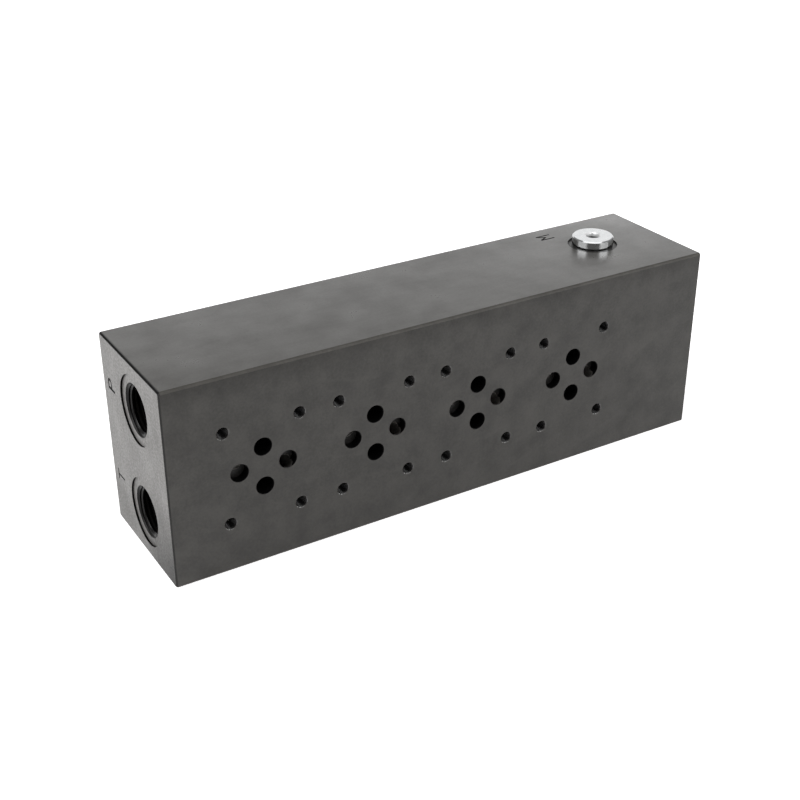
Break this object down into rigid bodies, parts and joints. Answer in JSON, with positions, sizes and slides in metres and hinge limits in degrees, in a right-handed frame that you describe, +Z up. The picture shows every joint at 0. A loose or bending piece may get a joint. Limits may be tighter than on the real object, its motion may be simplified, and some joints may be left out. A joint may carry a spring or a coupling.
{
  "type": "hydraulic valve subplate",
  "caption": "Steel bar manifold for directional valves, with a standard port pattern at each valve, threaded end and back ports, and a plugged gauge port",
  "frame": {"origin": "middle of the underside", "axes": "+X along the bar towards the gauge port, +Y from the valve face to the back, +Z up"},
  "size_m": [0.26, 0.062, 0.0901],
  "materials": {
    "block": "satin",
    "plug": "gloss",
    "seal": "matte"
  },
  "bodies": {
    "root": {"manifold_block": "block", "gauge_port_plug": "plug", "plug_seal_ring": "seal"}
  },
  "joints": []
}
